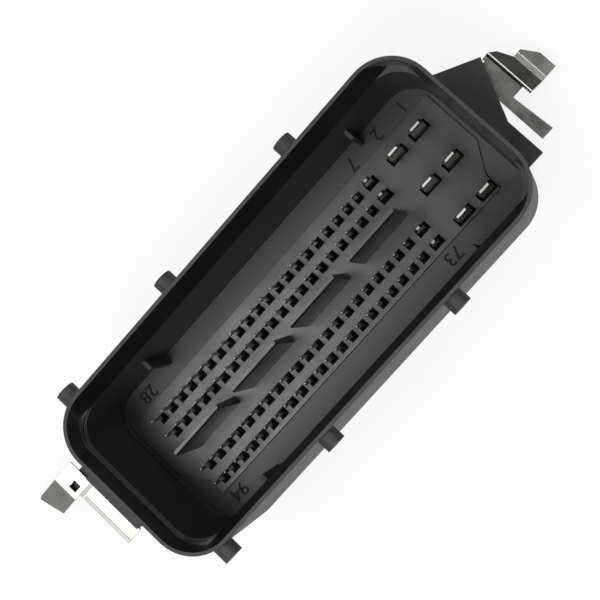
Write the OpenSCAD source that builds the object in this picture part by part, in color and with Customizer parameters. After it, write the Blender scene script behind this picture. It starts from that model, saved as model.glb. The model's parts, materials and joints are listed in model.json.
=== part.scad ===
// Many-way pin header of an engine control unit: a deep rounded shroud standing on the circuit board,
// a contact carrier set in its floor, three kinds of contact and a metal clip in the ear at each end.
// X runs along the header toward the power blades, Z points up out of the mating face.
// The origin is on the board face, under the middle of the shroud.

/* [Shroud] */
// Outside width of the shroud
shroud_width = 32.4; // [31:0.2:38]
// Height of the rim above the board
shroud_height = 28.9; // [24:0.1:36]
// Outside radius of the four upright corners
corner_radius = 7.4; // [6.5:0.1:9]
// Thickness of the two short walls below the lead-in
end_wall = 1.35; // [1.25:0.05:1.6]
// Thickness of the two long walls below the lead-in
side_wall = 2.05; // [1.4:0.05:2.4]
// Thickness left at the rim
lip_wall = 0.6; // [0.4:0.05:0.7]
// Depth over which the walls lean in from the rim
lead_in_depth = 5.2; // [3:0.1:8]
// Bevel at the foot of the lead-in at the signal-pin end
lead_in_bevel = 0.65; // [0.3:0.05:0.7]
// Height of the shroud's floor above the board
floor_height = 4.9; // [4.4:0.1:6]
// Thickness of the floor
floor_thickness = 2; // [1.5:0.1:2.2]

/* [Keys and nubs] */
// Width of the upright key ribs on the long walls
key_rib_width = 0.65; // [0.5:0.05:1.2]
// How far the key ribs stand into the cavity
key_rib_reach = 1.7; // [0.8:0.1:1.8]
// Height of the key ribs above the floor
key_rib_height = 10.8; // [6:0.1:14]
// Distance of the key ribs from the middle
key_rib_x = 24.7; // [20:0.1:28]
// Diameter of the lever nubs outside the long walls
nub_diameter = 3.4; // [2.4:0.1:4.4]
// How far the nubs stand out
nub_reach = 2.2; // [1:0.1:3]
// Depth of the nub centres below the rim
nub_drop = 2.8; // [2.3:0.1:8]
// Place of the first nub along the wall
nub_x_first = -33.8; // [-34.4:0.1:-28]
// Place of the second nub along the wall
nub_x_second = -10.2; // [-16:0.1:-4]
// Place of the third nub along the wall
nub_x_third = 17.7; // [10:0.1:28]

/* [Contact carrier] */
// Floor left between the carrier and the wall at the signal pins
floor_left = 0.7; // [0.6:0.05:2]
// Floor left between the carrier and the wall at the power blades
floor_right = 0.8; // [0.6:0.05:1.4]
// Carrier beyond the last signal pins
carrier_signal_margin = 5.35; // [4.8:0.05:8]
// Carrier beyond the last power blades
carrier_power_margin = 5; // [4.8:0.05:8]
// Carrier beyond the far row of pins
carrier_far_margin = 3.05; // [2:0.05:3.6]
// Carrier beyond the near row of pins
carrier_near_margin = 1.6; // [1.4:0.05:3]
// How far the carrier stands above the floor
carrier_step = 0.5; // [0.2:0.1:1.2]
// Open joint between the carrier and the floor
carrier_gap = 0.04; // [0.03:0.01:0.3]
// Length cut off the two near corners
key_cut_length = 3.2; // [2:0.1:3.6]
// Width at which the cut corners start, from the middle
key_cut_start = 1; // [0:0.1:2]
// Width at which the cut corners end, from the middle
key_cut_end = 5.8; // [4:0.1:7]
// Thickness of the rim that holds the carrier under the floor
carrier_rim = 1.3; // [0.8:0.1:1.6]
// Width of that rim
carrier_rim_width = 0.4; // [0.2:0.05:0.5]

/* [Contacts] */
// Spacing of the signal pins along a row
pin_pitch = 2.5; // [2.2:0.02:3]
// Signal pins in a row
pins_in_row = 21; // [2:1:21]
// Spacing of the two rows of each pair
row_pitch = 3.25; // [2.8:0.05:3.4]
// Spacing of the two inner rows
inner_row_gap = 8.1; // [7.4:0.1:8.4]
// Middle of the rows across the header
rows_y = -0.1; // [-0.3:0.1:0.3]
// Side of a square signal pin
pin_side = 0.63; // [0.5:0.01:0.7]
// Spacing from the first signal pins to the tab pins
tab_gap = 3.2; // [2.9:0.1:5]
// Width of a tab pin
tab_width = 1.5; // [1.2:0.1:1.8]
// Spacing from the tab pins to the first blades
blade_gap = 6.3; // [4:0.1:9]
// Spacing of the two blades of a pair
blade_pitch = 5.25; // [4.2:0.05:7]
// Spacing of the three pairs of blades
blade_row_pitch = 7.37; // [6.8:0.01:7.4]
// Middle of the blades across the header
blades_y = -0.3; // [-0.4:0.1:0.2]
// Width of a power blade
blade_width = 2.8; // [2.2:0.1:3.2]
// Thickness of a power blade
blade_thickness = 0.8; // [0.6:0.05:1]
// Height of the contacts above the carrier
contact_reach = 6.3; // [4:0.1:9]
// Length of the tails below the board face
tail_reach = 3.2; // [2:0.1:5]
// Length of the sharpened ends
point_length = 0.9; // [0.5:0.1:1.2]
// Width left at a sharpened end
point_width = 0.22; // [0.1:0.02:0.3]
// Length of the blunt ends of the tabs and blades
blunt_length = 0.45; // [0.3:0.05:0.7]
// Thickness left at a blunt end
blunt_width = 0.42; // [0.3:0.02:0.46]
// Gap from a contact to the long side of its well
well_margin = 0.48; // [0.3:0.02:0.5]
// Depth of the wells
well_depth = 1.8; // [1:0.1:2.2]

/* [Guard fins] */
// Number of guard fins in the line
fin_count = 4; // [1:1:4]
// Length of a guard fin
fin_length = 10.5; // [8:0.1:12]
// Spacing of the guard fins
fin_pitch = 13.97; // [12.5:0.01:14.2]
// Start of the first guard fin, from the last signal pins
fin_inset = 0.7; // [0:0.1:2]
// Height of the guard fins above the carrier
fin_height = 12.2; // [8:0.1:16]
// Thickness of a guard fin at its foot
fin_foot = 1.6; // [1:0.05:2]
// Thickness of a guard fin at its top
fin_top = 0.85; // [0.7:0.05:0.95]
// Bevel along the near top edge of a guard fin
fin_bevel = 0.3; // [0.1:0.05:0.4]

/* [Tail plate] */
// Thickness of the tail plate
tail_plate_thickness = 1; // [0.8:0.1:1.1]
// Gap round the tail plate and the carrier's rim inside the foot
tail_plate_gap = 0.15; // [0.05:0.05:0.4]
// Gap round a tail in its hole
tail_hole_gap = 0.06; // [0.02:0.01:0.12]
// Diameter of the spacers between the tail plate and the carrier
spacer_diameter = 2.4; // [1.6:0.1:2.6]
// Distance of the spacers from the middle, along the header
spacer_x = 24.2; // [23.6:0.1:24.6]

/* [End ears] */
// Thickness of the raised part of an ear
ear_thickness = 2.6; // [2.2:0.1:3.4]
// Thickness of the low part of an ear
ear_low_thickness = 1.6; // [1:0.1:2]
// Width of the ears on the far side at the wall
ear_far = 13.6; // [12:0.1:13.8]
// Width of the ears on the near side
ear_near = 9.9; // [9:0.1:12]
// How far the low part reaches from the end wall
ear_low_length = 3.45; // [2.6:0.05:4.2]
// How far the slanted ear reaches from the end wall
slant_ear_length = 8.25; // [7.6:0.05:11]
// Width at the tip of the slanted ear
slant_ear_tip = 8; // [7.6:0.1:9]
// Sideways run of the slanted side for each millimetre along it
slant_run = 0.46; // [0.44:0.01:0.5]
// How far the raised part still stands out where it ends on the near side
ear_step_back = 1.8; // [1:0.1:2.4]
// How far the square ear reaches from the end wall
square_ear_length = 11.25; // [9:0.05:13]
// Far side of the square ear
square_ear_far = 10.8; // [10:0.1:12]
// Near side of the square ear
square_ear_near = 1.8; // [1:0.1:2.4]

/* [Metal clips] */
// Thickness of the clip sheet
sheet = 0.6; // [0.4:0.05:0.6]
// Height of the sheet's middle above the board
sheet_level = 1.2; // [1.2:0.1:1.4]
// Plastic left between the clip tongues and the end wall
tongue_inset = 2.75; // [1.5:0.05:3.4]
// Near side of the tongues
tongue_near = 1; // [0.5:0.1:2]
// Far side of the tongues
tongue_far = 7.2; // [6:0.1:7.4]
// Far side of the hook clip
hook_far = 7.7; // [7.4:0.1:8.4]
// Near side of the hook clip
hook_near = 2; // [1:0.1:3]
// Flat sheet between the ear's tip and the rise to the crest
hook_flat = 0.9; // [0.7:0.1:2]
// Length of the rise to the crest
hook_crest_run = 0.4; // [0.3:0.1:1.2]
// Height of the crest above the flat sheet
hook_crest_rise = 0.6; // [0.3:0.1:0.9]
// Run from the crest down into the trough
hook_trough_run = 2.4; // [1.6:0.1:2.6]
// Depth of the trough below the flat sheet
hook_trough_drop = 0.9; // [0.5:0.1:0.9]
// Run of the gentle rise out of the trough
hook_ramp_run = 1; // [0.8:0.1:1.6]
// Height of that rise
hook_ramp_rise = 0.35; // [0.2:0.05:0.5]
// Width cut off the far corner halfway down into the trough
hook_corner = 0.9; // [0.6:0.1:1.6]
// Far side of the hook's lip
hook_lip_far = 4.2; // [3:0.1:5]
// Width at which the lip's far corner ends
hook_lip_corner = 1.4; // [0.8:0.1:2]
// Reach of the hook's lip beyond the rise
hook_lip_length = 2.2; // [1.5:0.1:4]
// Inner side of the prong, back from the ear's tip
prong_setback = 3.2; // [2.9:0.05:3.2]
// Width of the prong at its root
prong_width = 1.8; // [1.5:0.1:2.2]
// Length of the prong below the tongue
prong_length = 9.4; // [6:0.1:11]
// Drop of the prong's end below the flat sheet
prong_drop = 0.5; // [0.2:0.1:0.8]
// Far side of the plate clip
plate_far = 9.2; // [8.8:0.1:9.6]
// Near side of the plate clip
plate_near = 2.2; // [1:0.1:3]
// Reach of the plate clip beyond the ear
plate_length = 3.2; // [2.8:0.1:5]
// Depth of the turned-down edge
plate_edge_drop = 0.9; // [0.8:0.1:0.9]
// Run of the gentle slope before that edge
plate_edge_run = 0.6; // [0.3:0.05:0.8]
// Drop over that slope
plate_edge_fall = 0.28; // [0.15:0.01:0.4]
// Gap between the neck and the ear
neck_gap = 0.1; // [0.05:0.05:0.5]
// Far side of the neck and its lug
neck_far = 15; // [14:0.1:16]
// Rise of the neck above the plate
neck_rise = 0.4; // [0.3:0.05:0.6]
// Run of the slope between the plate and the neck
neck_run = 0.9; // [0.6:0.1:1]
// Side of the square hole in the neck
neck_hole = 1.5; // [1:0.1:1.6]
// Middle of the square hole, in from the outer edge of the plate
neck_hole_inset = 0.5; // [0.3:0.05:1.4]
// Middle of the square hole along the neck
neck_hole_y = 11.5; // [11.2:0.1:12]
// Reach of the lug beyond the plate
lug_length = 5.9; // [3:0.1:8]
// Level start of the lug beyond the plate
lug_flat = 1.2; // [1:0.1:2.2]
// Drop of the lug's end below the neck
lug_drop = 0.6; // [0.3:0.1:1.1]
// How much shorter the lug is on its near side
lug_slant = 1.2; // [0.4:0.1:1.6]
// Near side of the lug
lug_near = 9.9; // [9.8:0.1:10.6]

/* [Hidden] */
$fn = 64;
// Small overlap that lets one cut break cleanly through a face
cut = 1;
// How far added material is sunk into a wall it grows from
sink = 0.3;
// Edge kept clear round the pad under the neck
pad_margin = 0.3;
// Floor of the recess in that pad, under the square hole
recess_floor = 0.5;
// How far inside the end wall the far side of an ear starts, where the shroud's corner is round
ear_root = 2;
// The contacts set the length of the carrier, and the carrier that of the shroud
rows_length = (pins_in_row - 1) * pin_pitch + tab_gap + blade_gap + blade_pitch;
carrier_length = carrier_signal_margin + rows_length + carrier_power_margin;
cavity_half_length = (floor_left + carrier_length + floor_right) / 2;
// Half sizes of the shroud outside, of its cavity and of the rim opening
half_length = cavity_half_length + end_wall;
half_width = shroud_width / 2;
cavity_half_width = half_width - side_wall;
rim_half_length = half_length - lip_wall;
bevel_half_length = cavity_half_length + lead_in_bevel;
rim_half_width = half_width - lip_wall;
cavity_radius = corner_radius - side_wall;
rim_radius = corner_radius - lip_wall;
// Levels above the board
lead_in_foot = shroud_height - lead_in_depth;
carrier_top = floor_height + carrier_step;
floor_underside = floor_height - floor_thickness;
carrier_underside = floor_underside - carrier_rim;
well_floor = carrier_top - well_depth;
contact_top = carrier_top + contact_reach;
// Rows of contacts across the header, from the far side to the near side
row_ys = [
    rows_y + inner_row_gap / 2 + row_pitch,
    rows_y + inner_row_gap / 2,
    rows_y - inner_row_gap / 2,
    rows_y - inner_row_gap / 2 - row_pitch
];
blade_row_ys = [blades_y + blade_row_pitch, blades_y, blades_y - blade_row_pitch];
last_pin_x = floor_left + carrier_signal_margin - cavity_half_length;
first_pin_x = last_pin_x + (pins_in_row - 1) * pin_pitch;
tab_x = first_pin_x + tab_gap;
blade_x = tab_x + blade_gap;
fin_start_x = last_pin_x + fin_inset;
// Carrier edges, from the middle
carrier_left = cavity_half_length - floor_left;
carrier_right = cavity_half_length - floor_right;
carrier_far = row_ys[0] + carrier_far_margin;
carrier_near = carrier_near_margin - row_ys[3];
// Places along the ears and the clips, from the middle
ear_low_reach = half_length + ear_low_length;
slant_ear_reach = half_length + slant_ear_length;
square_ear_reach = half_length + square_ear_length;
tongue_start = half_length + tongue_inset;
hook_rise_x = slant_ear_reach + hook_flat;
hook_crest_x = hook_rise_x + hook_crest_run;
hook_trough_x = hook_crest_x + hook_trough_run;
hook_lip_x = hook_trough_x + hook_ramp_run;
hook_lip_reach = hook_lip_x + hook_lip_length;
hook_trough_level = sheet_level - hook_trough_drop;
prong_x = slant_ear_reach - prong_setback;
plate_reach = square_ear_reach + plate_length;
neck_start = square_ear_reach + neck_gap;
lug_reach = plate_reach + lug_length;
neck_level = sheet_level + neck_rise;
lug_bend_x = plate_reach + lug_flat;
neck_hole_x = plate_reach - neck_hole_inset;
pad_near = plate_far + neck_run + pad_margin;
nub_xs = [nub_x_first, nub_x_second, nub_x_third];

black_plastic = "#262628";
carrier_plastic = "#3a3a3c";
tin = "#c9c9c6";
clip_steel = "#b9b9b6";

// Flat rectangle with round corners, given by its half sizes
module rounded_rectangle(half_x, half_y, radius) {
    square([2 * (half_x - radius), 2 * half_y], center = true);
    square([2 * half_x, 2 * (half_y - radius)], center = true);
    for (side = [-1, 1]) {
        for (end = [-1, 1]) {
            translate([end * (half_x - radius), side * (half_y - radius)])
                circle(r = radius);
        }
    }
}

// Outline of the carrier seen from above: two near corners are cut so it fits one way round
module carrier_outline(grow) {
    polygon([
        [-carrier_left - grow, carrier_far + grow],
        [carrier_right + grow, carrier_far + grow],
        [carrier_right + grow, -key_cut_start],
        [carrier_right + grow - key_cut_length, -key_cut_end],
        [carrier_right + grow - key_cut_length, -carrier_near - grow],
        [-carrier_left - grow + key_cut_length, -carrier_near - grow],
        [-carrier_left - grow + key_cut_length, -key_cut_end],
        [-carrier_left - grow, -key_cut_start]
    ]);
}

// Room inside the foot of the shroud, less a gap all round
module foot_outline(gap) {
    rounded_rectangle(cavity_half_length - gap, cavity_half_width - gap, cavity_radius - gap);
}

// Outlines of all contacts seen from above, each widened by a gap
module contact_outlines(gap) {
    for (row = row_ys) {
        for (i = [0 : pins_in_row - 1]) {
            translate([first_pin_x - i * pin_pitch, row])
                square(pin_side + 2 * gap, center = true);
        }
        translate([tab_x, row])
            square([tab_width + 2 * gap, pin_side + 2 * gap], center = true);
    }
    for (row = blade_row_ys) {
        for (i = [0, 1]) {
            translate([blade_x + i * blade_pitch, row])
                square([blade_width + 2 * gap, blade_thickness + 2 * gap], center = true);
        }
    }
}

// Side view of a contact: a straight bar narrowed to a given width over a given length at the tip and the tail
module contact_profile(width, end_width, end_length) {
    point = end_width / 2;
    shoulder = width / 2;
    polygon([
        [-point, -tail_reach],
        [point, -tail_reach],
        [shoulder, end_length - tail_reach],
        [shoulder, contact_top - end_length],
        [point, contact_top],
        [-point, contact_top],
        [-shoulder, contact_top - end_length],
        [-shoulder, end_length - tail_reach]
    ]);
}

module signal_pin() {
    intersection() {
        rotate([90, 0, 0])
            linear_extrude(pin_side, center = true)
                contact_profile(pin_side, point_width, point_length);
        rotate([90, 0, 90])
            linear_extrude(pin_side, center = true)
                contact_profile(pin_side, point_width, point_length);
    }
}

module wide_contact(width, thickness) {
    intersection() {
        rotate([90, 0, 0])
            linear_extrude(thickness, center = true)
                contact_profile(width, width - point_length, point_length);
        rotate([90, 0, 90])
            linear_extrude(width, center = true)
                contact_profile(thickness, blunt_width, blunt_length);
    }
}

module signal_pins(row) {
    color(tin)
        for (i = [0 : pins_in_row - 1]) {
            translate([first_pin_x - i * pin_pitch, row_ys[row], 0])
                signal_pin();
        }
}

module tab_pin(row) {
    color(tin)
        translate([tab_x, row_ys[row], 0])
            wide_contact(tab_width, pin_side);
}

module power_blade(row, place) {
    color(tin)
        translate([blade_x + place * blade_pitch, blade_row_ys[row], 0])
            wide_contact(blade_width, blade_thickness);
}

// Section of the lead-in between two facing walls, given by its two ends at the foot and its half size at the rim
module lead_in_profile(foot_start, foot_end, rim) {
    polygon([
        [-rim, shroud_height + cut],
        [-rim, shroud_height],
        [foot_start, lead_in_foot],
        [foot_end, lead_in_foot],
        [rim, shroud_height],
        [rim, shroud_height + cut]
    ]);
}

// Section of the bevel at the foot of the lead-in, along the header
module bevel_profile() {
    polygon([
        [-bevel_half_length, lead_in_foot + cut],
        [-bevel_half_length, lead_in_foot],
        [-cavity_half_length, lead_in_foot - lead_in_bevel],
        [0, lead_in_foot - lead_in_bevel],
        [0, lead_in_foot + cut]
    ]);
}

// Ear at the power-blade end, with a slanted side
module slant_ear_outline() {
    slant_foot = slant_ear_reach - (slant_ear_tip + square_ear_near) * slant_run;
    polygon([
        [half_length - corner_radius, half_width - corner_radius],
        [half_length - ear_root, ear_far],
        [slant_ear_reach, slant_ear_tip],
        [slant_foot, -square_ear_near],
        [half_length + ear_step_back, -ear_near / 2],
        [half_length - corner_radius, -ear_near / 2]
    ]);
}

// Ear at the signal-pin end, with a square side
module square_ear_outline() {
    polygon([
        [corner_radius - half_length, half_width - corner_radius],
        [ear_root - half_length, ear_far],
        [-square_ear_reach, square_ear_far],
        [-square_ear_reach, -square_ear_near],
        [-half_length - ear_step_back, -ear_near / 2],
        [corner_radius - half_length, -ear_near / 2]
    ]);
}

module low_ear(end) {
    low_start = half_length - corner_radius;
    low_length = ear_low_reach - low_start;
    linear_extrude(ear_low_thickness)
        translate([end > 0 ? low_start : -ear_low_reach, -ear_near])
            square([low_length, ear_near - square_ear_near]);
}

// Pad of the square ear that carries the neck of the plate clip and closes its hole from below
module neck_pad() {
    difference() {
        translate([pad_margin - lug_bend_x, pad_near, 0])
            cube([
                lug_bend_x - square_ear_reach + cut,
                neck_hole_y + neck_hole - pad_near,
                neck_level - sheet / 2
            ]);
        translate([-neck_hole_x - neck_hole / 2, neck_hole_y - neck_hole / 2, recess_floor])
            cube([neck_hole, neck_hole, neck_level]);
    }
}

// Room for a clip's tongue inside an ear
module tongue_slot(end) {
    slot_length = square_ear_reach - tongue_start + cut;
    translate([end > 0 ? tongue_start : -tongue_start - slot_length, tongue_near, sheet_level - sheet / 2])
        cube([slot_length, tongue_far - tongue_near, sheet]);
}

module shroud() {
    color(black_plastic) {
        difference() {
            union() {
                linear_extrude(shroud_height)
                    rounded_rectangle(half_length, half_width, corner_radius);
                for (x = nub_xs) {
                    translate([x, 0, shroud_height - nub_drop])
                        rotate([90, 0, 0])
                            cylinder(d = nub_diameter, h = shroud_width + 2 * nub_reach, center = true);
                }
                linear_extrude(ear_thickness)
                    slant_ear_outline();
                linear_extrude(ear_thickness)
                    square_ear_outline();
                low_ear(1);
                low_ear(-1);
                neck_pad();
            }
            translate([0, 0, floor_height])
                linear_extrude(shroud_height)
                    rounded_rectangle(cavity_half_length, cavity_half_width, cavity_radius);
            intersection() {
                translate([0, 0, lead_in_foot])
                    linear_extrude(lead_in_depth + cut)
                        rounded_rectangle(rim_half_length, rim_half_width, rim_radius);
                rotate([90, 0, 90])
                    linear_extrude(2 * half_length, center = true)
                        lead_in_profile(-cavity_half_width, cavity_half_width, rim_half_width);
                rotate([90, 0, 0])
                    linear_extrude(2 * half_width, center = true)
                        lead_in_profile(-bevel_half_length, cavity_half_length, rim_half_length);
            }
            intersection() {
                translate([0, 0, floor_height])
                    linear_extrude(shroud_height)
                        rounded_rectangle(bevel_half_length, cavity_half_width, cavity_radius);
                rotate([90, 0, 0])
                    linear_extrude(2 * half_width, center = true)
                        bevel_profile();
            }
            translate([0, 0, -cut])
                linear_extrude(floor_underside + cut)
                    foot_outline(0);
            translate([0, 0, floor_underside - cut])
                linear_extrude(floor_thickness + 2 * cut)
                    carrier_outline(carrier_gap);
            tongue_slot(1);
            tongue_slot(-1);
        }
        key_ribs();
    }
}

module key_ribs() {
    for (end = [-1, 1]) {
        for (side = [-1, 1]) {
            translate([
                end * key_rib_x - key_rib_width / 2,
                side > 0 ? cavity_half_width - key_rib_reach : -cavity_half_width - sink,
                floor_height - sink
            ])
                cube([key_rib_width, key_rib_reach + sink, key_rib_height + sink]);
        }
    }
}

module guard_fin_profile() {
    polygon([
        [-fin_foot / 2, -sink],
        [fin_foot / 2, -sink],
        [fin_foot / 2, 0],
        [fin_top / 2, fin_height],
        [fin_bevel - fin_top / 2, fin_height],
        [-fin_top / 2, fin_height - fin_bevel],
        [-fin_foot / 2, 0]
    ]);
}

module contact_carrier() {
    color(carrier_plastic) {
        translate([0, 0, well_floor])
            linear_extrude(well_depth)
                difference() {
                    carrier_outline(0);
                    contact_outlines(well_margin);
                }
        translate([0, 0, floor_underside])
            linear_extrude(well_floor - floor_underside)
                difference() {
                    carrier_outline(0);
                    contact_outlines(0);
                }
        translate([0, 0, carrier_underside])
            linear_extrude(carrier_rim)
                difference() {
                    intersection() {
                        carrier_outline(carrier_rim_width);
                        foot_outline(tail_plate_gap);
                    }
                    contact_outlines(0);
                }
        for (i = [0 : fin_count - 1]) {
            translate([fin_start_x + i * fin_pitch, rows_y, carrier_top])
                rotate([90, 0, 90])
                    linear_extrude(fin_length)
                        guard_fin_profile();
        }
    }
}

module tail_plate() {
    color(carrier_plastic) {
        linear_extrude(tail_plate_thickness)
            difference() {
                foot_outline(tail_plate_gap);
                contact_outlines(tail_hole_gap);
            }
        for (end = [-1, 1]) {
            translate([end * spacer_x, rows_y, tail_plate_thickness - sink])
                cylinder(d = spacer_diameter, h = carrier_underside - tail_plate_thickness + sink);
        }
    }
}

// Side view of a bent sheet that follows a line of points
module bent_sheet(points) {
    for (i = [0 : len(points) - 2]) {
        run = points[i + 1] - points[i];
        translate(points[i])
            rotate(atan2(run.y, run.x))
                translate([0, -sheet / 2])
                    square([norm(run), sheet]);
    }
    for (i = [1 : len(points) - 2]) {
        translate(points[i])
            circle(d = sheet);
    }
}

// Sheet bent along the header, between two widths across it
module bent_band(points, near, far) {
    translate([0, far, 0])
        rotate([90, 0, 0])
            linear_extrude(far - near)
                bent_sheet(points);
}

// Sheet bent across the header, between two places along it
module cross_band(points, start, end) {
    translate([start, 0, 0])
        rotate([90, 0, 90])
            linear_extrude(end - start)
                bent_sheet(points);
}

// Upright stack over an outline, tall enough to trim any clip
module trim_to() {
    translate([0, 0, -tail_reach])
        linear_extrude(shroud_height)
            children();
}

// Tongue and hook seen from above
module hook_outline() {
    corner_x = (hook_crest_x + hook_trough_x) / 2;
    lip_corner_x = (hook_lip_x + hook_lip_reach) / 2 - sheet;
    polygon([
        [tongue_start, tongue_near],
        [tongue_start, tongue_far],
        [slant_ear_reach, tongue_far],
        [slant_ear_reach, hook_far],
        [hook_crest_x, hook_far],
        [corner_x, hook_far - hook_corner],
        [hook_trough_x, hook_lip_far],
        [lip_corner_x, hook_lip_far],
        [hook_lip_reach, hook_lip_corner],
        [hook_lip_reach + sheet, -hook_near],
        [hook_rise_x, -hook_near],
        [hook_rise_x, -sheet / 2],
        [prong_x, -sheet / 2],
        [prong_x, tongue_near]
    ]);
}

// Prong seen from above, a little wider at its end
module prong_outline() {
    polygon([
        [prong_x, tongue_near],
        [prong_x + prong_width, tongue_near],
        [prong_x + prong_width + sheet, tongue_near - prong_length],
        [prong_x, tongue_near - prong_length]
    ]);
}

module hook_clip() {
    color(clip_steel) {
        intersection() {
            bent_band(
                [
                    [tongue_start - sheet, sheet_level],
                    [hook_rise_x, sheet_level],
                    [hook_crest_x, sheet_level + hook_crest_rise],
                    [hook_trough_x, hook_trough_level],
                    [hook_lip_x, hook_trough_level + hook_ramp_rise],
                    [hook_lip_reach, hook_trough_level + hook_ramp_rise]
                ],
                -hook_near,
                hook_far
            );
            trim_to()
                hook_outline();
        }
        intersection() {
            cross_band(
                [
                    [-prong_length, sheet_level - prong_drop],
                    [-hook_near, sheet_level - prong_drop / 2],
                    [-sheet / 2, sheet_level],
                    [tongue_near, sheet_level]
                ],
                prong_x,
                prong_x + prong_width + sheet
            );
            trim_to()
                prong_outline();
        }
    }
}

// Tongue and plate seen from above
module plate_outline() {
    polygon([
        [-tongue_start, tongue_near],
        [-square_ear_reach, tongue_near],
        [-square_ear_reach, -plate_near],
        [-plate_reach - sheet, -plate_near],
        [-plate_reach - sheet, plate_far],
        [-neck_start, plate_far],
        [-square_ear_reach, tongue_far],
        [-tongue_start, tongue_far]
    ]);
}

// Slope and neck seen from above
module neck_outline() {
    translate([-plate_reach, plate_far - sink])
        square([plate_reach - neck_start, neck_far - plate_far + sink]);
}

// Lug seen from above
module lug_outline() {
    polygon([
        [sink - plate_reach, lug_near],
        [lug_slant - lug_reach, lug_near],
        [-lug_reach, neck_far - sink],
        [sheet - lug_reach, neck_far],
        [sink - plate_reach, neck_far]
    ]);
}

// Plate, neck and lug bent from one sheet
module plate_clip_sheet() {
    intersection() {
        bent_band(
            [
                [-tongue_start + sheet, sheet_level],
                [plate_edge_run - plate_reach, sheet_level],
                [-plate_reach, sheet_level - plate_edge_fall],
                [-plate_reach, sheet_level - plate_edge_drop]
            ],
            -plate_near,
            plate_far
        );
        trim_to()
            plate_outline();
    }
    intersection() {
        cross_band(
            [
                [plate_far - sheet, sheet_level],
                [plate_far, sheet_level],
                [plate_far + neck_run, neck_level],
                [neck_far, neck_level]
            ],
            -plate_reach,
            -neck_start
        );
        trim_to()
            neck_outline();
    }
    intersection() {
        bent_band(
            [
                [sheet - plate_reach, neck_level],
                [-lug_bend_x, neck_level],
                [-lug_reach - sheet, neck_level - lug_drop]
            ],
            lug_near,
            neck_far
        );
        trim_to()
            lug_outline();
    }
}

module plate_clip() {
    color(clip_steel) {
        difference() {
            plate_clip_sheet();
            translate([-neck_hole_x - neck_hole / 2, neck_hole_y - neck_hole / 2, -cut])
                cube([neck_hole, neck_hole, shroud_height]);
        }
    }
}

shroud();
contact_carrier();
tail_plate();
signal_pins(0);  // signal_pins_row_1
signal_pins(1);  // signal_pins_row_2
signal_pins(2);  // signal_pins_row_3
signal_pins(3);  // signal_pins_row_4
tab_pin(0);  // tab_pin_1
tab_pin(1);  // tab_pin_2
tab_pin(2);  // tab_pin_3
tab_pin(3);  // tab_pin_4
power_blade(0, 1);  // power_blade_1
power_blade(0, 0);  // power_blade_2
power_blade(1, 1);  // power_blade_3
power_blade(1, 0);  // power_blade_4
power_blade(2, 1);  // power_blade_5
power_blade(2, 0);  // power_blade_6
hook_clip();
plate_clip();
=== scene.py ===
import json
import math

import bpy
import numpy as np
from mathutils import Euler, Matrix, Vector


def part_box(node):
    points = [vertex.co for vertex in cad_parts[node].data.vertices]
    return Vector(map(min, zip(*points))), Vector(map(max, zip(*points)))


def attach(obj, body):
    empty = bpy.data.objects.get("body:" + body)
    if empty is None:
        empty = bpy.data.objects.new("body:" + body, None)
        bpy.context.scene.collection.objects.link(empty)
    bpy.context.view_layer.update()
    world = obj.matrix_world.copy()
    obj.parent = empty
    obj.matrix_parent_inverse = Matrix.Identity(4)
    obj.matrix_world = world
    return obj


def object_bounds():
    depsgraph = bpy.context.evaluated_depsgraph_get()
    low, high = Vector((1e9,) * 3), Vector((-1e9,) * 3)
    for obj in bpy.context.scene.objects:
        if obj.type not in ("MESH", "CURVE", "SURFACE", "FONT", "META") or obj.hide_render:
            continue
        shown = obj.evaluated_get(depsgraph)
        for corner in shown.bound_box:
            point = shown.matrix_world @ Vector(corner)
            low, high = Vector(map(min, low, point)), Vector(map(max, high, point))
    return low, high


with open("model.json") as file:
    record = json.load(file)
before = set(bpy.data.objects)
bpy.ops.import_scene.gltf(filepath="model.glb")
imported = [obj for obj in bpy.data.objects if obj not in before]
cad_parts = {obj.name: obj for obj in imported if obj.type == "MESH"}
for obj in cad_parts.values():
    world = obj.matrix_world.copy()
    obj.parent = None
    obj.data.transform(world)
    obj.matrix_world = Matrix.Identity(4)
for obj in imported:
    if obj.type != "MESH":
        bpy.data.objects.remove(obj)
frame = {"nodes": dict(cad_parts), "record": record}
cad_box = [list(v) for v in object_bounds()]
nodes = frame["nodes"]
MM = 0.001

# Floor of the cavity, on which the numbers stand, the rim, and the foot of the lead-in under the rim
FLOOR_Z = 4.9 * MM
RIM_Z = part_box("shroud")[1][2]
LEAD_IN_Z = RIM_Z - 5.2 * MM
# Upright rounded box midway between the faces of the rim: half length, half width, corner radius
CAVITY = (39.35 * MM, 15.9 * MM, 7.1 * MM)
# Lower edge of the sheared end of a pin, which is painted a darker grey to dim its glint
PIN_END_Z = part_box("signal_pins_row_1")[1][2] - 0.04 * MM

# Width of the cloudy flow marks in a moulding, and how far they change its roughness down and up
FLOW_MM = 6.0
GLOSSIER = 0.06
DULLER = 0.07
# Length of a drawn streak in plated metal, in widths of it
STREAK_STRETCH = 8.0


def linear(hex_code):
    """Linear RGBA of an sRGB hex colour."""
    out = []
    for i in (1, 3, 5):
        c = int(hex_code[i:i + 2], 16) / 255
        out.append(c / 12.92 if c <= 0.04045 else ((c + 0.055) / 1.055) ** 2.4)
    return (*out, 1.0)


def add_node(tree, kind, inputs=None, **settings):
    """Adds a shader node, sets its properties, and links or sets its inputs by name or number."""
    node = tree.nodes.new(kind)
    for key, value in settings.items():
        setattr(node, key, value)
    for key, value in (inputs or {}).items():
        if isinstance(value, bpy.types.NodeSocket):
            tree.links.new(value, node.inputs[key])
        else:
            node.inputs[key].default_value = value
    return node


def new_material(name):
    """A material with its node tree and its shader."""
    m = bpy.data.materials.new(name)
    m.use_nodes = True
    return m, m.node_tree, m.node_tree.nodes["Principled BSDF"]


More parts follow.
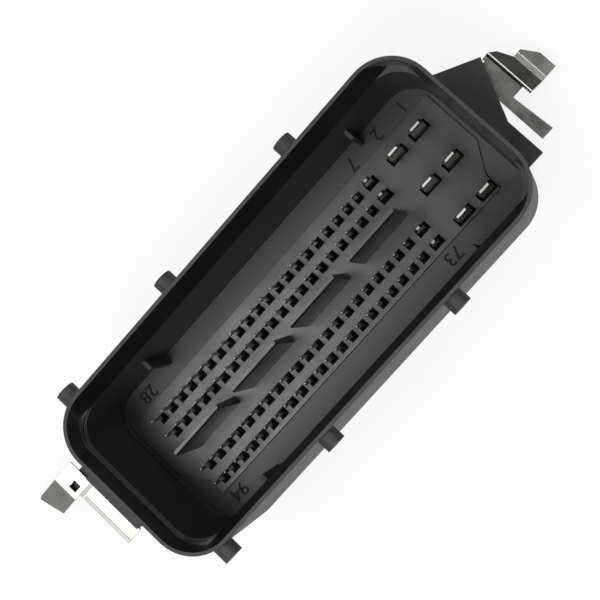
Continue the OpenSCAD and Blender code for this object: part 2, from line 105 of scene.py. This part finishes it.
def moulded_plastic(name, dark, light, grain_mm, rough, bevel_mm, shine):
    """Glass-filled black PBT, moulded: a satin skin with fine grain, cloudy flow marks and soft edges.

    The flow marks change colour and gloss a little. The grain is drawn coarser than it is, so that it shows.
    """
    m, tree, bsdf = new_material(name)
    place = add_node(tree, "ShaderNodeTexCoord").outputs["Object"]
    flow = {"Vector": place, "Scale": 1 / (FLOW_MM * MM), "Detail": 4.0, "Roughness": 0.55}
    cloud = add_node(tree, "ShaderNodeTexNoise", flow).outputs["Fac"]
    share = add_node(tree, "ShaderNodeMapRange", {"Value": cloud, "From Min": 0.3, "From Max": 0.7})
    tones = {"Fac": share.outputs["Result"], "Color1": linear(dark), "Color2": linear(light)}
    colour = add_node(tree, "ShaderNodeMixRGB", tones)
    tree.links.new(colour.outputs["Color"], bsdf.inputs["Base Color"])
    gloss = add_node(tree, "ShaderNodeMapRange", {
        "Value": cloud, "From Min": 0.25, "From Max": 0.75,
        "To Min": rough - GLOSSIER, "To Max": rough + DULLER})
    tree.links.new(gloss.outputs["Result"], bsdf.inputs["Roughness"])
    bsdf.inputs["Specular IOR Level"].default_value = shine
    skin = {"Vector": place, "Scale": 1 / (grain_mm * MM), "Detail": 3.0, "Roughness": 0.6}
    grain = add_node(tree, "ShaderNodeTexNoise", skin).outputs["Fac"]
    soft = add_node(tree, "ShaderNodeBevel", {"Radius": bevel_mm * MM}, samples=4).outputs["Normal"]
    relief = {"Height": grain, "Normal": soft, "Strength": 0.35, "Distance": 0.02 * MM}
    bump = add_node(tree, "ShaderNodeBump", relief)
    tree.links.new(bump.outputs["Normal"], bsdf.inputs["Normal"])
    return m


def plated_metal(name, colour_hex, streak_mm, rough, uneven, bevel_mm):
    """Stamped and plated metal: bright, with drawn streaks that make the gloss uneven, and soft edges."""
    m, tree, bsdf = new_material(name)
    place = add_node(tree, "ShaderNodeTexCoord").outputs["Object"]
    across = 1 / (streak_mm * MM)
    stretch = {"Vector": place, "Scale": (across, across, across / STREAK_STRETCH)}
    drawn = add_node(tree, "ShaderNodeMapping", stretch).outputs["Vector"]
    wavy = {"Vector": drawn, "Scale": 1.0, "Detail": 1.0}
    streak = add_node(tree, "ShaderNodeTexNoise", wavy).outputs["Fac"]
    gloss = add_node(tree, "ShaderNodeMapRange", {
        "Value": streak, "From Min": 0.3, "From Max": 0.7,
        "To Min": rough - uneven, "To Max": rough + uneven})
    tree.links.new(gloss.outputs["Result"], bsdf.inputs["Roughness"])
    bsdf.inputs["Metallic"].default_value = 1.0
    bsdf.inputs["Base Color"].default_value = linear(colour_hex)
    soft = add_node(tree, "ShaderNodeBevel", {"Radius": bevel_mm * MM}, samples=4)
    tree.links.new(soft.outputs["Normal"], bsdf.inputs["Normal"])
    return m


def other_finish(m, low, high, rough, colour_hex=None, inside=None):
    """Gives a material another gloss, and another colour if one is named, between two heights of the part.

    With inside (half length, half width, corner radius), only within that upright rounded box: there the
    length of what |x| and |y| have beyond the corner centres is less than the corner radius.
    """
    tree = m.node_tree
    bsdf = tree.nodes["Principled BSDF"]
    place = add_node(tree, "ShaderNodeTexCoord").outputs["Object"]
    height = add_node(tree, "ShaderNodeSeparateXYZ", {"Vector": place}).outputs["Z"]
    band = {0: height, 1: (low + high) / 2, 2: (high - low) / 2}
    mask = add_node(tree, "ShaderNodeMath", band, operation="COMPARE").outputs[0]
    if inside:
        half_x, half_y, radius = inside
        corner = (half_x - radius, half_y - radius, 1.0)
        away = add_node(tree, "ShaderNodeVectorMath", {0: place}, operation="ABSOLUTE")
        for operation, value in (("SUBTRACT", corner), ("MAXIMUM", (0.0, 0.0, 0.0))):
            pair = {0: away.outputs["Vector"], 1: value}
            away = add_node(tree, "ShaderNodeVectorMath", pair, operation=operation)
        away = add_node(tree, "ShaderNodeVectorMath", {0: away.outputs["Vector"]}, operation="LENGTH")
        reach = {0: away.outputs["Value"], 1: radius}
        within = add_node(tree, "ShaderNodeMath", reach, operation="LESS_THAN").outputs[0]
        mask = add_node(tree, "ShaderNodeMath", {0: mask, 1: within}, operation="MULTIPLY").outputs[0]
    changes = [("Roughness", (rough, rough, rough, 1.0))]
    if colour_hex:
        changes.append(("Base Color", linear(colour_hex)))
    for socket, value in changes:
        before = bsdf.inputs[socket].default_value
        if bsdf.inputs[socket].links:
            before = bsdf.inputs[socket].links[0].from_socket
        mix = add_node(tree, "ShaderNodeMixRGB", {"Fac": mask, "Color1": before, "Color2": value})
        tree.links.new(mix.outputs["Color"], bsdf.inputs[socket])


# Dark and light tone, grain in mm, roughness, edge radius in mm, specular level
shroud_plastic = moulded_plastic("black_pbt_shroud", "#0b0c0c", "#101111", 0.22, 0.62, 0.12, 0.75)
plate_plastic = moulded_plastic("black_pbt_tail_plate", "#1d1d1e", "#262627", 0.18, 0.4, 0.1, 0.6)
carrier_plastic = moulded_plastic("black_pbt_carrier", "#0b0b0c", "#111112", 0.18, 0.36, 0.05, 0.85)
# Painted shade: the numbers are a darker, less glossy copy of the plastic, so that they read as dark strokes
# on the floor
shaded_number_plastic = moulded_plastic("black_pbt_number_painted_shade", "#08080a", "#0d0d0e", 0.18, 0.6, 0.04, 0.3)
# Colour, width of a streak in mm, roughness and how far it varies, edge radius in mm
blade_tin = plated_metal("tinned_copper_blade", "#b9b9b4", 0.25, 0.42, 0.04, 0.05)
pin_tin = plated_metal("tinned_copper_pin", "#c4c4bf", 0.25, 0.16, 0.05, 0.03)
clip_steel = plated_metal("plated_spring_steel", "#a8a8a4", 2.5, 0.28, 0.025, 0.08)
# The floor of the cavity and the lead-in are smoother than the outside of the shroud, and the drawn walls
# between them a little; the carrier below the floor of the cavity, in its contact wells and the walls of its
# seam, is painted black as shade, and dull; the top end of a pin is painted a darker grey to dim its glint,
# and dull
other_finish(shroud_plastic, FLOOR_Z - 2.0 * MM, FLOOR_Z + 0.2 * MM, 0.46, inside=CAVITY)
other_finish(shroud_plastic, FLOOR_Z + 0.2 * MM, LEAD_IN_Z - 0.65 * MM, 0.58, inside=CAVITY)
other_finish(shroud_plastic, LEAD_IN_Z, RIM_Z - 0.2 * MM, 0.36, inside=CAVITY)
# Painted shade: the carrier below the floor of the cavity, in its contact wells and seam, is coloured black
other_finish(carrier_plastic, cad_box[0][2], FLOOR_Z, 1.0, "#030303")
# Painted dimming of a highlight: the top end of a pin is coloured a darker grey, and duller, so its glint is
# faint
other_finish(pin_tin, PIN_END_Z, RIM_Z, 0.5, "#8c8b87")

FINISH = {
    "shroud_plastic": shroud_plastic,
    "carrier_plastic": carrier_plastic,
    "tinned_contact": pin_tin,
    "clip_steel": clip_steel,
}
for sub in frame["record"]["subparts"]:
    finish = FINISH[sub["material_slot"]]
    if sub["node"].startswith("power_blade"):
        finish = blade_tin
    if sub["node"] == "tail_plate":
        finish = plate_plastic
    for slot in nodes[sub["node"]].material_slots:
        slot.material = finish

# Position numbers: height of a digit, half its thickness, and how far its middle is above the floor
DIGIT = 3.3 * MM
DIGIT_HALF_THICK = 0.12 * MM
DIGIT_LIFT = 0.06 * MM


def raised_number(label, x, y, z, height):
    """Raised moulded position number, lying on the moulding and read with the power blades on the left.

    The outlines of the digits, thickened evenly to both sides, are turned half round, by changing the signs
    of x and y, and moved to their place.
    """
    curve = bpy.data.curves.new("number_" + label, "FONT")
    curve.body = label
    curve.align_x = "CENTER"
    curve.align_y = "CENTER"
    curve.size = height
    curve.extrude = DIGIT_HALF_THICK
    text = bpy.data.objects.new("text_" + label, curve)
    bpy.context.collection.objects.link(text)
    bpy.context.view_layer.update()
    mesh = bpy.data.meshes.new_from_object(text.evaluated_get(bpy.context.evaluated_depsgraph_get()))
    co = np.zeros(len(mesh.vertices) * 3)
    mesh.vertices.foreach_get("co", co)
    co = co.reshape(-1, 3)
    co[:, :2] *= -1
    co += np.array([x, y, z + DIGIT_LIFT])
    mesh.vertices.foreach_set("co", co.ravel())
    mesh.materials.clear()
    mesh.materials.append(shaded_number_plastic)
    bpy.data.objects.remove(text)
    piece = bpy.data.objects.new("number_" + label, mesh)
    bpy.context.collection.objects.link(piece)
    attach(piece, "root")


for label, x, y in (("1", 33.4, 12.0), ("2", 27.4, 12.0), ("7", 21.1, 11.8), ("28", -31.2, 12.0),
                    ("73", 21.1, -10.7), ("94", -32.4, -10.7)):
    raised_number(label, x * MM, y * MM, FLOOR_Z, DIGIT)

# Stage: a paper floor just under the tails. Gloss shows it plain white, and the camera nearly so, with the
# rest of what it sees left to the lit paper, which keeps a faint shadow
HALF_SIDE = 6.0
WHITE_SHARE = 0.85
stage_z = cad_box[0][2] - 0.2 * MM
corners = [(sx * HALF_SIDE, sy * HALF_SIDE, stage_z) for sx, sy in ((-1, -1), (1, -1), (1, 1), (-1, 1))]
floor_mesh = bpy.data.meshes.new("floor")
floor_mesh.from_pydata(corners, [], [(0, 1, 2, 3)])
floor = bpy.data.objects.new("floor", floor_mesh)
bpy.context.collection.objects.link(floor)
paper, tree, bsdf = new_material("white_paper_floor")
bsdf.inputs["Base Color"].default_value = linear("#e4e4e4")
bsdf.inputs["Roughness"].default_value = 0.9
white = add_node(tree, "ShaderNodeEmission", {"Color": (1, 1, 1, 1), "Strength": 1.0})
path = add_node(tree, "ShaderNodeLightPath")
camera_ray = path.outputs["Is Camera Ray"]
share = add_node(tree, "ShaderNodeMath", {0: camera_ray, 1: WHITE_SHARE}, operation="MULTIPLY").outputs[0]
for ray in ("Is Glossy Ray", "Is Transmission Ray"):
    share = add_node(tree, "ShaderNodeMath", {0: share, 1: path.outputs[ray]}, operation="MAXIMUM").outputs[0]
seen = add_node(tree, "ShaderNodeMixShader", {0: share, 1: bsdf.outputs[0], 2: white.outputs[0]})
tree.links.new(seen.outputs[0], tree.nodes["Material Output"].inputs["Surface"])
floor_mesh.materials.append(paper)

# Studio light in a dark room
world = bpy.data.worlds.new("room")
bpy.context.scene.world = world
world.use_nodes = True
room = world.node_tree.nodes["Background"]
room.inputs["Color"].default_value = linear("#9a9a9a")
room.inputs["Strength"].default_value = 0.04
AIM = Vector((0.0, 0.0, 15 * MM))


def soft_light(name, place, size, watts):
    """Square soft box aimed at the middle of the header; place and size in metres."""
    lamp = bpy.data.lights.new(name, "AREA")
    lamp.shape = "SQUARE"
    lamp.size = size
    lamp.energy = watts
    obj = bpy.data.objects.new(name, lamp)
    obj.location = place
    obj.rotation_euler = (AIM - Vector(place)).to_track_quat("-Z", "Y").to_euler()
    bpy.context.collection.objects.link(obj)


# Soft boxes above the far and the near side of the signal end and beyond the power end, a low card beyond
# the signal end, and a weak fill low at each corner for the sides
for name, place, size, watts in (
    ("key", (-0.18, 0.14, 0.62), 0.24, 1.08),
    ("near", (-0.2, -0.2, 0.6), 0.28, 2.4),
    ("right", (0.4, 0.0, 0.55), 0.3, 1.55),
    ("card", (-0.6, 0.0, 0.22), 0.3, 0.68),
    ("fill_1", (-0.35, -0.5, 0.33), 0.4, 0.5),
    ("fill_2", (-0.35, 0.5, 0.33), 0.4, 0.5),
    ("fill_3", (0.35, -0.5, 0.33), 0.4, 0.5),
    ("fill_4", (0.35, 0.5, 0.33), 0.4, 0.5),
):
    soft_light(name, place, size, watts)

# Camera solved from the pin grid in the photo
camera = bpy.data.cameras.new("camera")
camera.lens = 77.86
camera.sensor_width = 36.0
camera.clip_start = 0.01
eye = bpy.data.objects.new("camera", camera)
eye.location = (32.355 * MM, -26.822 * MM, 216.466 * MM)
eye.rotation_euler = Euler([math.radians(a) for a in (-1.2787, 11.9907, -47.808)])
bpy.context.collection.objects.link(eye)
bpy.context.scene.camera = eye
bpy.context.scene.view_settings.view_transform = "Standard"
